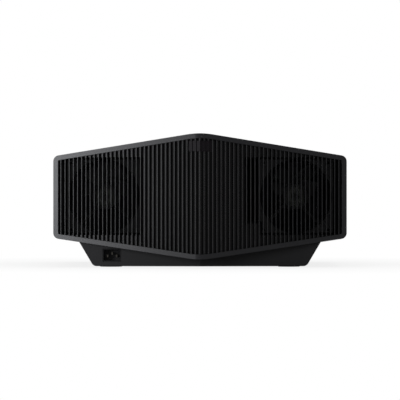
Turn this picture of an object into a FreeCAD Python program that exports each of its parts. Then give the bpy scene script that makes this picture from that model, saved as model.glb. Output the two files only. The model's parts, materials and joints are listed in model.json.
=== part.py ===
"""Home cinema projector, modelled as separate pieces in one millimetre frame.

+Z is up, +Y is the way the lens looks, -Y is the ribbed rear and z = 0 is the table under the feet.
Left is -X and right is +X, as seen from the rear; the four arrow buttons are named as their own panel reads.
Every settable size is written once, in SIZES, and reaches the geometry through the spreadsheet.
"""
import FreeCAD
import Part

import os
import re

import Sketcher
from FreeCAD import Vector

# ---------------------------------------------------------------- sizes, in millimetres or degrees
SIZES = {
    "case_width": 460, "case_length": 517, "side_low": 45, "side_high": 173.5,
    "ridge_height": 209.8, "keel_height": 11.3, "ridge_rounding": 125, "corner_rounding": 9.5,
    "wall": 2.8, "seam": 0.3, "v_rise": 57.3, "bezel_line": 186, "split_height": 109,
    "rim_inset": 7.5, "rim_depth": 9.5, "grille_gap": 0.25, "flange_inset": 3.1,
    "rib_pitch": 6.6, "rib_nose": 1.5, "rib_root": 2.2, "rib_peak": 0.22, "rib_front": 1.5, "grille_face": 7.5,
    "grille_back": 12.3, "flange_front": 9.8, "nose_rounding": 30, "ribs_per_side": 33,
    "base_share": 0.36304, "base_bottom": 1.2, "base_flare": 0.591, "base_rear": 218, "base_front": 205,
    "base_v": 17, "base_wall": 3, "base_rounding": 9,
    "inlet_share": 0.29957, "inlet_z": 18.5, "inlet_wide": 26, "inlet_high": 17.5, "inlet_wall": 1.5,
    "inlet_depth": 22, "foot_x": 140, "front_foot_y": 165, "rear_foot_y": 175, "foot_radius": 17,
    "stud_radius": 3.9, "mount_x": 100, "mount_y": 90, "mount_hole": 2.5, "insert_radius": 4,
    "screw_x": 152, "screw_y": 70, "screw_radius": 1.5, "screw_head": 3.5,
    "fan_x": 150.5, "fan_z": 110.5, "fan_side": 120, "fan_depth": 25, "fan_rim": 1.8,
    "tip_gap": 1.7, "hub_radius": 21, "fan_gap": 0.4,
    "lens_z": 109, "ring_radius": 80, "ring_front": 252, "ring_back": 226, "tunnel_front": 74,
    "tunnel_back": 58.5, "fascia_half": 95, "barrel_radius": 44, "barrel_rear_radius": 36,
    "barrel_front": 222, "barrel_rear": 96, "glass_radius": 36, "shift_up": 6.5, "shift_side": 4.9,
    "gear_tip": 49.4, "gear_root": 46.6, "pinion_tip": 11, "pinion_root": 7.9,
    "gear_distance": 57.9, "gear_width": 10, "chassis_z": 50, "chassis_thick": 2,
    "window_low": 54, "window_high": 167.7,
    "panel_inset": 1.5, "panel_thick": 2, "terminal_z": 76, "button_travel": 0.8,
}

# sizes that follow from the ones above
DERIVED = {
    "base_half": "case_width * base_share",
    "inlet_x": "-case_width * inlet_share",
    "fan_bore": "fan_side / 2 - fan_rim",
    "blade_tip": "fan_side / 2 - fan_rim - tip_gap",
    "panel_face": "case_width / 2 - panel_inset",
    "half_reach": "case_width / 2 + 10",
    "top_reach": "ridge_height + 10",
}

document = FreeCAD.newDocument("projector")
sheet = document.addObject("Spreadsheet::Sheet", "sizes")
for row, (name, value) in enumerate(SIZES.items(), start=1):
    sheet.set(f"A{row}", name)
    sheet.set(f"B{row}", str(value))
    sheet.setAlias(f"B{row}", name)
document.recompute()

NODES = []
SIZE_WORD = re.compile(r"[a-z_]+[a-z0-9_]*")


# ---------------------------------------------------------------- small helpers
def formula(text):
    """Turn a size formula into a spreadsheet expression."""
    def swap(match):
        word = match.group()
        if word in DERIVED:
            return f"({formula(DERIVED[word])})"
        return "sizes." + word if word in SIZES else word
    return SIZE_WORD.sub(swap, str(text))


def number(text):
    """The value a size formula has now."""
    return float(sheet.evalExpression(formula(text)))


def bind(thing, path, text):
    thing.setExpression(path, formula(text))


def polygon(*corners):
    return ("polygon", corners)


def rectangle(low_u, high_u, low_v, high_v):
    return polygon((low_u, low_v), (high_u, low_v), (high_u, high_v), (low_u, high_v))


def circle(u, v, radius):
    return ("circle", (u, v, radius))


def draw(body, plane, shift, shapes, name="outline"):
    """A fully driven sketch on one of the body's own planes, moved along that plane's normal."""
    sketch = body.newObject("Sketcher::SketchObject", name)
    support = [feature for feature in body.Origin.OriginFeatures if feature.Role == plane][0]
    sketch.AttachmentSupport = [(support, "")]
    sketch.MapMode = "FlatFace"
    bind(sketch, "AttachmentOffset.Base.z", shift)
    for kind, data in shapes:
        first = sketch.GeometryCount
        if kind == "circle":
            u, v, radius = data
            centre = Vector(number(u), number(v), 0)
            sketch.addGeometry(Part.Circle(centre, Vector(0, 0, 1), number(radius)), False)
            pins = [("DistanceX", first, 3, u), ("DistanceY", first, 3, v)]
            row = sketch.addConstraint(Sketcher.Constraint("Radius", first, number(radius)))
            bind(sketch, f"Constraints[{row}]", radius)
        else:
            points = [Vector(number(u), number(v), 0) for u, v in data]
            for a, b in zip(points, points[1:] + points[:1]):
                sketch.addGeometry(Part.LineSegment(a, b), False)
            count = len(points)
            for side in range(count):
                ends = (first + side, 2, first + (side + 1) % count, 1)
                sketch.addConstraint(Sketcher.Constraint("Coincident", *ends))
            pins = []
            for side, (u, v) in enumerate(data):
                pins += [("DistanceX", first + side, 1, u), ("DistanceY", first + side, 1, v)]
        for direction, geometry, point, text in pins:
            limit = Sketcher.Constraint(direction, -1, 1, geometry, point, number(text))
            row = sketch.addConstraint(limit)
            bind(sketch, f"Constraints[{row}]", text)
    return sketch


PLANES = {"X": "YZ_Plane", "Y": "XZ_Plane", "Z": "XY_Plane"}


def pad(body, axis, low, high, *shapes):
    """Add a straight pad between two heights along one axis."""
    start = f"-({high})" if axis == "Y" else low
    sketch = draw(body, PLANES[axis], start, shapes)
    feature = body.newObject("PartDesign::Pad", "pad")
    feature.Profile = sketch
    bind(feature, "Length", f"({high}) - ({low})")
    body.Tip = feature
    return feature


def block(name, axis, low, high, *shapes):
    """A body padded from shapes drawn across one axis; inner shapes become holes."""
    body = document.addObject("PartDesign::Body", name)
    pad(body, axis, low, high, *shapes)
    return body


def box(name, low, high):
    """A rectangular body between two corners."""
    (x0, y0, z0), (x1, y1, z1) = low, high
    return block(name, "Z", z0, z1, rectangle(x0, x1, y0, y1))


def rod(name, axis, centre, low, high, radius, bore=None):
    """A round bar or tube along one axis; the centre is given in the other two axes."""
    shapes = [circle(*centre, radius)]
    if bore is not None:
        shapes.append(circle(*centre, bore))
    return block(name, axis, low, high, *shapes)


def place(thing, x=0, y=0, z=0, turn=None):
    for axis, text in (("x", x), ("y", y), ("z", z)):
        bind(thing, f"Placement.Base.{axis}", text)
    if turn is not None:
        thing.Placement.Rotation = FreeCAD.Rotation(Vector(0, 0, 1), 1)
        bind(thing, "Placement.Rotation.Angle", turn)
    return thing


def turned(name, axis, profile, x=0, z=0):
    """A body turned about an axis; profile points are (along the axis, radius)."""
    body = document.addObject("PartDesign::Body", name)
    if axis == "Y":
        plane, line, points = "XY_Plane", "V_Axis", [(r, a) for a, r in profile]
    elif axis == "Z":
        plane, line, points = "XZ_Plane", "V_Axis", [(r, a) for a, r in profile]
    else:
        plane, line, points = "XY_Plane", "H_Axis", list(profile)
    sketch = draw(body, plane, 0, [polygon(*points)])
    feature = body.newObject("PartDesign::Revolution", "turn")
    feature.Profile = sketch
    feature.ReferenceAxis = (sketch, [line])
    feature.Angle = 360
    body.Tip = feature
    return place(body, x, 0, z)


def fuse(name, *parts):
    joined = document.addObject("Part::MultiFuse", name)
    joined.Shapes = list(parts)
    return joined


def cut(name, base, *tools):
    removed = document.addObject("Part::Cut", name)
    removed.Base = base
    removed.Tool = tools[0] if len(tools) == 1 else fuse(name + "_tools", *tools)
    return removed


def common(name, *parts):
    shared = document.addObject("Part::MultiCommon", name)
    shared.Shapes = list(parts)
    return shared


def group(name, *parts):
    bundle = document.addObject("Part::Compound", name)
    bundle.Links = list(parts)
    return bundle


def node(name, thing):
    """Name a finished piece; the label becomes its file name."""
    thing.Label = name
    NODES.append(thing)
    return thing


def edges_where(shape, rule):
    return [index for index, edge in enumerate(shape.Edges, start=1) if rule(edge)]


def round_edges(body, rule, radius):
    """Fillet the edges of a body that a rule picks."""
    document.recompute()
    base = body.Tip
    names = [f"Edge{index}" for index in edges_where(base.Shape, rule)]
    feature = body.newObject("PartDesign::Fillet", "rounding")
    feature.Base = (base, names)
    bind(feature, "Radius", radius)
    body.Tip = feature


def runs_along_y(edge):
    a, b = edge.Vertexes[0].Point, edge.Vertexes[-1].Point
    return abs(a.x - b.x) < 1e-3 and abs(a.z - b.z) < 1e-3 and abs(a.y - b.y) > 1


# ---------------------------------------------------------------- the two outlines of the case
TOP_SLOPE = "((ridge_height - side_high) / (case_width / 2))"
LOW_SLOPE = "((side_low - keel_height) / (case_width / 2))"
REACH = "(half_reach)"
REAR_REACH = ("-270", "-150")    # far enough to pass through either end
FRONT_REACH = ("150", "270")


def outline_height(x, inset, top=True):
    """Height of the upper or lower sloping side at a distance x from the middle."""
    if top:
        return f"(ridge_height - ({inset}) * sqrt(1 + {TOP_SLOPE}^2) - ({x}) * {TOP_SLOPE})"
    return f"(keel_height + ({inset}) * sqrt(1 + {LOW_SLOPE}^2) + ({x}) * {LOW_SLOPE})"


def six_sided(name, inset, low, high):
    """The case's six-sided section as a bar along Y, every side moved inwards by the inset."""
    half = f"(case_width / 2 - ({inset}))"
    body = block(name, "Y", low, high, polygon(
        (f"-{half}", outline_height(half, inset, False)), (0, outline_height(0, inset, False)),
        (half, outline_height(half, inset, False)), (half, outline_height(half, inset)),
        (0, outline_height(0, inset)), (f"-{half}", outline_height(half, inset))))
    round_edges(body, lambda e: runs_along_y(e) and abs(e.Vertexes[0].X) < 1, f"ridge_rounding - ({inset})")
    round_edges(body, lambda e: runs_along_y(e) and abs(e.Vertexes[0].X) > 200,
                f"corner_rounding - ({inset})")
    return body


def face_y(end, x, offset):
    """Where the V-shaped end face lies; end is -1 at the rear and 1 at the front."""
    return f"({end}) * (case_length / 2 - v_rise * ({x}) / (case_width / 2) - ({offset}))"


def v_band(name, end, near, far):
    """A V-shaped wall following the end face between two depths behind it."""
    return block(name, "Z", 0, "ridge_height + 5", polygon(
        (f"-{REACH}", face_y(end, REACH, near)), (0, face_y(end, 0, near)),
        (REACH, face_y(end, REACH, near)), (REACH, face_y(end, REACH, far)),
        (0, face_y(end, 0, far)), (f"-{REACH}", face_y(end, REACH, far))))


def v_region(name, end, near, rounding=None):
    """Everything between the V-shaped end face and the straight joint with the case."""
    joint = f"({end}) * bezel_line"
    body = block(name, "Z", 0, "ridge_height + 5", polygon(
        (f"-{REACH}", face_y(end, REACH, near)), (0, face_y(end, 0, near)),
        (REACH, face_y(end, REACH, near)), (REACH, joint), (f"-{REACH}", joint)))
    if rounding is not None:
        round_edges(body, lambda e: e.Length > 100 and all(abs(v.X) < 1e-3 for v in e.Vertexes), rounding)
    return body


def rib_row(name, end, side, first, last):
    """Upright tapered ribs standing along one leg of the V, patterned at the rib pitch."""
    body = document.addObject("PartDesign::Body", name)
    middle = f"({side}) * rib_pitch * ({first})"
    distance = f"(rib_pitch * ({first}))"
    nose = face_y(end, distance, "rib_front")
    root = face_y(end, distance, "grille_back")
    rib = polygon((f"{middle} - rib_root / 2", root), (f"{middle} + rib_root / 2", root),
                  (f"{middle} + rib_nose / 2", f"{nose} - ({end}) * rib_peak"), (middle, nose),
                  (f"{middle} - rib_nose / 2", f"{nose} - ({end}) * rib_peak"))
    sketch = draw(body, "XY_Plane", 0, [rib])
    start = Vector(number(middle), number(root), 0)
    lean = number("v_rise / (case_width / 2)")
    finish = start + Vector(side * 50, -end * 50 * lean, 0)
    sketch.addGeometry(Part.LineSegment(start, finish), True)
    feature = body.newObject("PartDesign::Pad", "rib")
    feature.Profile = sketch
    bind(feature, "Length", "ridge_height + 5")
    pattern = body.newObject("PartDesign::LinearPattern", "row")
    pattern.Originals = [feature]
    pattern.Direction = (sketch, ["Axis0"])
    bind(pattern, "Length", f"(({last}) - ({first})) * rib_pitch * sqrt(1 + (v_rise / (case_width / 2))^2)")
    bind(pattern, "Occurrences", f"({last}) - ({first}) + 1")
    body.Tip = pattern
    return body


# ---------------------------------------------------------------- case halves
case_ends = ("-(bezel_line - seam)", "bezel_line - seam")
long_ends = ("-case_length / 2 - 5", "case_length / 2 + 5")
outer_bar = six_sided("outer_bar", 0, *case_ends)
inner_bar = six_sided("inner_bar", "wall", *long_ends)
case_tube = cut("case_tube", outer_bar, inner_bar)
under_half = box("under_half", ("-half_reach", "-bezel_line", "0"),
                 ("half_reach", "bezel_line", "split_height - seam / 2"))
upper_half = box("upper_half", ("-half_reach", "-bezel_line", "split_height + seam / 2"),
                 ("half_reach", "bezel_line", "top_reach"))

TERMINAL = ("-165", "15", "terminal_z - 20", "terminal_z + 20")
CONTROL = ("-152", "-68", "120", "160")


def side_hole(name, panel, gap):
    y0, y1, z0, z1 = panel
    return block(name, "X", "-half_reach", "-half_reach + 20",
                 rectangle(f"({y0}) - {gap}", f"({y1}) + {gap}", f"({z0}) - {gap}", f"({z1}) + {gap}"))


screw_spots = [(x, y) for x in ("-screw_x", "screw_x") for y in ("-screw_y", "0", "screw_y")]


def at_spots(name, spots, low, high, radius):
    """The same upright bar at several places."""
    return block(name, "Z", low, high, *[circle(x, y, radius) for x, y in spots])


case_screw_holes = at_spots("case_screw_holes", screw_spots, "0", "48", "screw_radius + 0.1")
node("lower_case", cut("lower_case_cut", common("lower_case_shell", case_tube, under_half),
                       side_hole("terminal_hole", TERMINAL, "0.2"), case_screw_holes))
node("top_cover", cut("top_cover_cut", common("top_cover_shell", case_tube, upper_half),
                      side_hole("control_hole", CONTROL, "0.2")))


# ---------------------------------------------------------------- bezels at both ends
def bezel(end, title):
    """Rim following the V, thick behind its face and a plain wall further in."""
    skin = common(title + "_skin", six_sided(title + "_bar", 0, *long_ends),
                  v_region(title + "_region", end, 0, "nose_rounding"))
    mouth = six_sided(title + "_mouth", "rim_inset", *long_ends)
    hollow = common(title + "_hollow", six_sided(title + "_inside", "wall", *long_ends),
                    v_region(title + "_room", end, "rim_depth"))
    ring = cut(title + "_ring", skin, mouth, hollow)
    return node(title, ring)


bezel(-1, "rear_bezel")
bezel(1, "front_bezel")

# ---------------------------------------------------------------- rear grille and its remote window
fit_inset = "rim_inset + grille_gap"
grille_field = six_sided("grille_field", fit_inset, *long_ends)
grille_plate = common("grille_plate", v_band("grille_band", -1, "grille_face", "grille_back"), grille_field)
grille_flange = common("grille_flange", v_band("flange_band", -1, "flange_front", "grille_back"),
                       six_sided("flange_field", "flange_inset", *long_ends))

SCOOP_ANGLE = 38


def scoop(name, side, near, far, low):
    """Cutter for one window: square at the plate's back and opening out towards its face."""
    lean = "atan(v_rise / (case_width / 2))"
    stretch = f"/ cos({lean})"
    span = (f"({near}) {stretch}", f"({far}) {stretch}")
    if side < 0:
        span = (f"-({far}) {stretch}", f"-({near}) {stretch}")
    body = block(name, "Y", "-9", "0.5", rectangle(*span, low, "window_high"))
    body.Tip.TaperAngle = SCOOP_ANGLE
    return place(body, 0, face_y(-1, 0, "grille_back"), 0, f"({side}) * {lean}")


scoops = [scoop("left_scoop", -1, "92", "210", "window_low"),
          scoop("right_scoop", 1, "97", "212", "window_low"),
          scoop("step_scoop", 1, "72", "99", "72")]
remote_hole = block("remote_hole", "Y", *REAR_REACH, rectangle("-18.4", "18.4", "180", "196.9"))
scooped = cut("scooped", grille_plate, *scoops)
rear_ribs = common("rear_ribs", group("all_rear_ribs", rib_row("ribs_right", -1, 1, 0, "ribs_per_side"),
                                      rib_row("ribs_left", -1, -1, 1, "ribs_per_side")), grille_field)
node("rear_grille", cut("rear_grille_cut", fuse("rear_grille_whole", cut(
    "flange_open", grille_flange, block("flange_clear", "Y", *REAR_REACH, rectangle(
        "-218", "218", "50", "172"))), scooped, rear_ribs), remote_hole))
remote_area = block("remote_area", "Y", *REAR_REACH, rectangle("-18.2", "18.2", "180.2", "196.7"))
remote_ribs = common("remote_ribs", rib_row("remote_rib_right", -1, 1, 0, 2), v_band("remote_band", -1, 2.6, 6))
remote_ribs_left = common("remote_ribs_left", rib_row("remote_rib_left", -1, -1, 1, 2),
                          v_band("remote_band_left", -1, 2.6, 6))
node("rear_ir_window", common("rear_ir_cut", fuse(
    "rear_ir_whole", v_band("remote_plate", -1, 4.2, 8), remote_ribs, remote_ribs_left), remote_area))

# ---------------------------------------------------------------- front end
front_field = six_sided("front_field", fit_inset, *long_ends)
front_plate = v_band("front_plate", 1, "2", "grille_back")
fascia_zone = block("fascia_zone", "Y", *FRONT_REACH, rectangle(
    "-fascia_half + 0.15", "fascia_half - 0.15", "0", "top_reach"))
INDICATOR = ("-88", "-76", "44", "47.5")
FRONT_IR = ("72", "88", "168", "178")
small_holes = [block(name, "Y", *FRONT_REACH, rectangle(*area))
               for name, area in (("indicator_hole", INDICATOR), ("front_ir_hole", FRONT_IR))]
lens_hole = rod("lens_hole", "Y", ("0", "lens_z"), *FRONT_REACH, "ring_radius + 0.1")
node("front_fascia", cut("fascia_cut", common("fascia_whole", front_plate, front_field, fascia_zone),
                         lens_hole, *small_holes))


def small_window(name, area):
    u0, u1, v0, v1 = area
    zone = block(name + "_zone", "Y", *FRONT_REACH,
                 rectangle(f"({u0}) + 0.1", f"({u1}) - 0.1", f"({v0}) + 0.1", f"({v1}) - 0.1"))
    return node(name, common(name + "_cut", v_band(name + "_band", 1, "2.2", "9"), zone))


small_window("indicator_lens", INDICATOR)
small_window("front_ir_window", FRONT_IR)
node("lens_trim_ring", turned("lens_trim_ring", "Y", [
    ("ring_back", "tunnel_back"), ("ring_back", "ring_radius"), ("ring_front - 2", "ring_radius"),
    ("ring_front", "ring_radius - 2"), ("ring_front", "tunnel_front + 1"),
    ("ring_front - 1", "tunnel_front")], z="lens_z"))


def front_grille(side, title):
    """Exhaust grille: ribs over a frame with one large opening."""
    inner, outer = ("fascia_half + 0.15", "222.5")
    span = (inner, outer) if side > 0 else (f"-({outer})", f"-({inner})")
    zone = block(title + "_zone", "Y", *FRONT_REACH, rectangle(*span, "0", "top_reach"))
    plate = common(title + "_plate", v_band(title + "_band", 1, "7", "grille_back"), front_field, zone)
    gap = ("106", "211") if side > 0 else ("-211", "-106")
    opening = block(title + "_opening", "Y", *FRONT_REACH, rectangle(*gap, "58", "164"))
    ribs = common(title + "_ribs", rib_row(title + "_row", 1, side, 15, "ribs_per_side"), front_field, zone)
    return node(title, fuse(title + "_whole", cut(title + "_open", plate, opening), ribs))


front_grille(-1, "front_grille_left")
front_grille(1, "front_grille_right")


# ---------------------------------------------------------------- base under the case
def base_bar(name, inset, low_z):
    """The base as a bar with leaning sides and shallow V ends, moved inwards by the inset."""
    low = f"base_half - ({inset}) * 1.16 + ({low_z} - base_bottom) * base_flare"
    high = f"base_half - ({inset}) * 1.16 + (51.2 - base_bottom) * base_flare"
    section = block(name + "_section", "Y", "-230", "230", polygon(
        (f"-({low})", low_z), (low, low_z), (high, "51.2"), (f"-({high})", "51.2")))
    round_edges(section, lambda e: runs_along_y(e) and e.Vertexes[0].Z < 10, f"base_rounding - ({inset})")
    rear, front = f"-base_rear + ({inset})", f"base_front - ({inset})"
    plan = block(name + "_plan", "Z", "0", "60", polygon(
        ("-200", f"{rear} + base_v"), ("0", rear), ("200", f"{rear} + base_v"),
        ("200", f"{front} - base_v"), ("0", front), ("-200", f"{front} - base_v")))
    return common(name, section, plan)


case_space = six_sided("case_space", "-seam", *long_ends)
base_shell = cut("base_shell", base_bar("base_outside", "0", "base_bottom"),
                 base_bar("base_inside", "base_wall", "base_bottom + base_wall"))
front_feet = [("-foot_x", "front_foot_y"), ("foot_x", "front_foot_y")]
rear_feet = [("-foot_x", "-rear_foot_y"), ("foot_x", "-rear_foot_y")]
mount_spots = [(x, y) for x in ("-mount_x", "mount_x") for y in ("-mount_y", "mount_y")]
base_bosses = [
    at_spots("foot_plates", front_feet, "base_bottom", "base_bottom + 7", "foot_radius + 4"),
    at_spots("foot_bosses", front_feet, "base_bottom + 6", "29", "8"),
    at_spots("mount_bosses", mount_spots, "base_bottom", "16", "8"),
    at_spots("screw_bosses", screw_spots, "base_bottom", "50", "5.5"),
]
inlet_half_wide = "(inlet_wide / 2 + inlet_wall)"
inlet_half_high = "(inlet_high / 2 + inlet_wall)"
inlet_hole = block("inlet_hole", "Y", "-230", "-180", rectangle(
    f"inlet_x - {inlet_half_wide} - 0.1", f"inlet_x + {inlet_half_wide} + 0.1",
    f"inlet_z - {inlet_half_high} - 0.1", f"inlet_z + {inlet_half_high} + 0.1"))
base_holes = [
    at_spots("foot_recess", front_feet, "0", "base_bottom + 4", "foot_radius + 1"),
    at_spots("foot_bores", front_feet, "0", "40", "stud_radius + 0.08"),
    at_spots("mount_bores", mount_spots, "0", "base_bottom + 10", "insert_radius"),
    at_spots("pad_recess", rear_feet, "0", "base_bottom + 1.2", "foot_radius + 0.2"),
    at_spots("screw_bores", screw_spots, "0", "60", "screw_radius + 0.1"),
    at_spots("screw_sinks", screw_spots, "0", "base_bottom + 2.6", "screw_head + 0.4"),
]
node("pedestal", cut("pedestal_cut", fuse("pedestal_whole", base_shell, *base_bosses),
                     case_space, inlet_hole, *base_holes))


def foot(title, x):
    pad_body = rod(title + "_disc", "Z", (x, "front_foot_y"), "0", "4.2", "foot_radius")
    stud = rod(title + "_stud", "Z", (x, "front_foot_y"), "4", "28", "stud_radius")
    return node(title, fuse(title + "_whole", pad_body, stud))


foot("foot_left", "-foot_x")
foot("foot_right", "foot_x")
node("rear_foot_pads", at_spots("rear_pads", rear_feet, "0", "base_bottom + 1.2", "foot_radius"))
node("mount_inserts", block("inserts", "Z", "base_bottom", "base_bottom + 10", *[
    circle(x, y, radius) for x, y in mount_spots for radius in ("insert_radius - 0.02", "mount_hole")]))
node("case_screws", fuse("case_screws_whole",
                         at_spots("screw_heads", screw_spots, "base_bottom + 0.4", "base_bottom + 2.6", "screw_head"),
                         at_spots("screw_shanks", screw_spots, "base_bottom + 2.4", "42", "screw_radius")))

# ---------------------------------------------------------------- mains inlet
inlet_face = "-203.5"
inlet_back = f"({inlet_face} + inlet_depth)"


def inlet_rectangle(extra):
    return rectangle(f"inlet_x - inlet_wide / 2 - {extra}", f"inlet_x + inlet_wide / 2 + {extra}",
                     f"inlet_z - inlet_high / 2 - {extra}", f"inlet_z + inlet_high / 2 + {extra}")


inlet_tube = block("inlet_tube", "Y", inlet_face, inlet_back, inlet_rectangle("inlet_wall"))
inlet_hollow = block("inlet_hollow", "Y", "-220", f"{inlet_back} - 3", inlet_rectangle("0"))
pin_spots = [("inlet_x - 7", "inlet_z - 1.5"), ("inlet_x", "inlet_z + 2.5"), ("inlet_x + 7", "inlet_z - 1.5")]
pin_holes = block("pin_holes", "Y", "-220", "-170", *[
    rectangle(f"{x} - 1.05", f"{x} + 1.05", f"{z} - 2.05", f"{z} + 2.05") for x, z in pin_spots])
node("ac_inlet", cut("ac_inlet_cut", inlet_tube, inlet_hollow, pin_holes))
node("inlet_pins", block("pins", "Y", f"{inlet_back} - 17", f"{inlet_back} + 4", *[
    rectangle(f"{x} - 1", f"{x} + 1", f"{z} - 2", f"{z} + 2") for x, z in pin_spots]))

# ---------------------------------------------------------------- side panels, sockets and buttons
panel_outer = "-panel_face"
panel_inner = "-panel_face + panel_thick"


def side_rectangle(y, z, wide, high, extra="0"):
    return rectangle(f"{y} - {wide} / 2 - {extra}", f"{y} + {wide} / 2 + {extra}",
                     f"{z} - {high} / 2 - {extra}", f"{z} + {high} / 2 + {extra}")


# name: (y, wide, high, wall)
SOCKETS = {
    "serial_port": ("-142", "18", "9", "1"),
    "lan_socket": ("-108", "12.6", "9.4", "1.2"),
    "hdmi_first": ("-80", "14.4", "5", "0.7"),
    "hdmi_second": ("-54", "14.4", "5", "0.7"),
    "usb_socket": ("-28", "12.8", "5.4", "0.7"),
}
JACK_Y, JACK_RADIUS = "-4", "1.75"
socket_holes = [side_rectangle(y, "terminal_z", wide, high, f"({rim} + 0.1)")
                for y, wide, high, rim in SOCKETS.values()]
node("terminal_panel", block("terminal_plate", "X", panel_outer, panel_inner, rectangle(*TERMINAL),
                             *socket_holes, circle(JACK_Y, "terminal_z", "4.1")))
sockets = {}
for title, (y, wide, high, rim) in SOCKETS.items():
    shell = block(title + "_shell", "X", "-panel_face - 0.5", "-panel_face + 13",
                  side_rectangle(y, "terminal_z", wide, high, rim))
    room = block(title + "_room", "X", "-half_reach", "-panel_face + 11.5",
                 side_rectangle(y, "terminal_z", wide, high))
    hollow = cut(title + "_hollow", shell, room)
    tongue = block(title + "_tongue", "X", "-panel_face + 3", "-panel_face + 12",
                   rectangle(f"{y} - {wide} / 2 + 2", f"{y} + {wide} / 2 - 2",
                             f"terminal_z + {high} / 2 - 0.6", f"terminal_z + {high} / 2 + 0.1"))
    sockets[title] = fuse(title + "_whole", hollow, tongue)
hdmi_pair = group("hdmi_pair", sockets.pop("hdmi_first"), sockets.pop("hdmi_second"))
node("hdmi_sockets", hdmi_pair)
for title, socket in sockets.items():
    node(title, socket)
node("trigger_jack", rod("jack", "X", (JACK_Y, "terminal_z"), "-panel_face - 0.5", "-panel_face + 13",
                         "4", JACK_RADIUS))

# name: (y, z, radius)
BUTTONS = {
    "power_button": ("-141", "140", "5"),
    "ok_button": ("-110", "140", "4.4"),
    "up_button": ("-110", "152", "4.4"),
    "down_button": ("-110", "128", "4.4"),
    "left_button": ("-98", "140", "4.4"),
    "right_button": ("-122", "140", "4.4"),
    "input_button": ("-79", "149", "4.4"),
    "menu_button": ("-79", "131", "4.4"),
}
node("control_panel", block("control_plate", "X", panel_outer, panel_inner, rectangle(*CONTROL), *[
    circle(y, z, f"{radius} + 0.15") for y, z, radius in BUTTONS.values()]))
for title, (y, z, radius) in BUTTONS.items():
    cap = rod(title + "_cap", "X", (y, z), "-panel_face - 1", "-panel_face + 2.6", radius)
    round_edges(cap, lambda e: e.Vertexes[0].X < number("-panel_face - 0.9"), "0.4")
    collar = rod(title + "_collar", "X", (y, z), "-panel_face + 2.3", "-panel_face + 3.4", f"{radius} + 0.9")
    stem = rod(title + "_stem", "X", (y, z), "-panel_face + 3.2", "-panel_face + 7.5", "1.5")
    node(title, fuse(title + "_whole", cap, collar, stem))
switch_frame = block("switch_plate", "X", "-panel_face + 9", "-panel_face + 10.6",
                     rectangle("-154", "-66", "118", "162"))
switch_cans = block("switch_cans", "X", "-panel_face + 8.6", "-panel_face + 9.1", *[
    circle(y, z, "2.6") for y, z, _ in BUTTONS.values()])
switch_posts = block("switch_posts", "X", "-panel_face + 2.1", "-panel_face + 9.1", *[
    circle(y, z, "2") for y in ("-149", "-71") for z in ("123", "157")])
node("switch_board", fuse("switch_board_whole", switch_frame, switch_cans, switch_posts))

# ---------------------------------------------------------------- chassis, boards and light source
chassis_top = "(chassis_z + chassis_thick)"
chassis_flat = box("chassis_flat", ("-200", "-155", "chassis_z"), ("200", "146", chassis_top))
chassis_legs = [box(f"chassis_leg_{index}", (x0, "-150", "33"), (x1, "140", "chassis_z + 1"))
                for index, (x0, x1) in enumerate((("-158", "-154"), ("154", "158")))]
chassis_space = six_sided("chassis_space", "wall + 0.3", *long_ends)
chassis_vents = block("chassis_vents", "Z", "30", "60", *[
    rectangle(x, f"{x} + 30", "-130", "-112") for x in ("-140", "-90", "60", "110")])
node("chassis_plate", cut("chassis_cut", common("chassis_trim", fuse(
    "chassis_whole", chassis_flat, *chassis_legs), chassis_space), chassis_vents))

board_z = f"{chassis_top} + 6"


def board(title, low, high, posts, chips):
    """A circuit board on posts, with its larger components."""
    (x0, y0), (x1, y1) = low, high
    plate = box(title + "_plate", (x0, y0, board_z), (x1, y1, f"{board_z} + 1.6"))
    legs = at_spots(title + "_legs", posts, f"{chassis_top} + 0.1", f"{board_z} + 0.2", "3")
    parts = [box(f"{title}_chip_{index}", (a, b, f"{board_z} + 1.5"), (c, d, f"{board_z} + {tall}"))
             for index, (a, b, c, d, tall) in enumerate(chips)]
    return node(title, fuse(title + "_whole", plate, legs, *parts))


board("main_board", ("-55", "-150"), ("80", "-32"),
      [("-48", "-143"), ("73", "-143"), ("-48", "-39"), ("73", "-39")],
      [("-20", "-110", "10", "-80", 5), ("30", "-120", "55", "-95", 18), ("-40", "-70", "-20", "-50", 4),
       ("20", "-75", "60", "-45", 9)])
board("power_supply", ("95", "-130"), ("190", "110"),
      [("101", "-124"), ("184", "-124"), ("101", "104"), ("184", "104")],
      [("105", "-110", "150", "-70", 42), ("160", "-100", "182", "-60", 30), ("110", "-40", "140", "10", 34),
       ("150", "-30", "180", "60", 26), ("105", "40", "140", "90", 38)])

engine_box = box("engine_box", ("-70", "-20", f"{chassis_top} + 0.1"), ("70", "88", "160"))
engine_room = box("engine_room", ("-67", "-17", f"{chassis_top} + 3.1"), ("67", "85", "157"))
engine_mouth = rod("engine_mouth", "Y", ("0", "lens_z"), "80", "95", "30")
wheel_motor = rod("wheel_motor", "X", ("25", "lens_z"), "-68", "-52", "12")
wheel_bore = rod("wheel_bore", "X", ("25", "lens_z"), "-64", "-50", "1.55")
prism_shelf = box("prism_shelf", ("-20", "35", "50"), ("20", "75", "lens_z - 17"))
engine_floor = common("engine_shelf", prism_shelf, engine_box)
node("light_engine_case", cut("engine_cut", fuse("engine_whole", cut("engine_shell", engine_box, engine_room),
                                                 wheel_motor, engine_floor), engine_mouth, wheel_bore))
node("phosphor_wheel", turned("phosphor_wheel", "X", [
    ("-62", "0"), ("-62", "1.5"), ("-51.5", "1.5"), ("-51.5", "8"), ("-48", "8"), ("-48", "26"),
    ("-47", "26"), ("-47", "6"), ("-46", "6"), ("-46", "0")], z="lens_z"))
place(NODES[-1], 0, "25", "lens_z")
node("combiner_prism", box("combiner_prism", ("-16", "40", "lens_z - 16.8"), ("16", "72", "lens_z + 16")))
node("laser_module", box("laser_module", ("-132", "-10", f"{chassis_top} + 0.1"), ("-70.2", "70", "132")))
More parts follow.
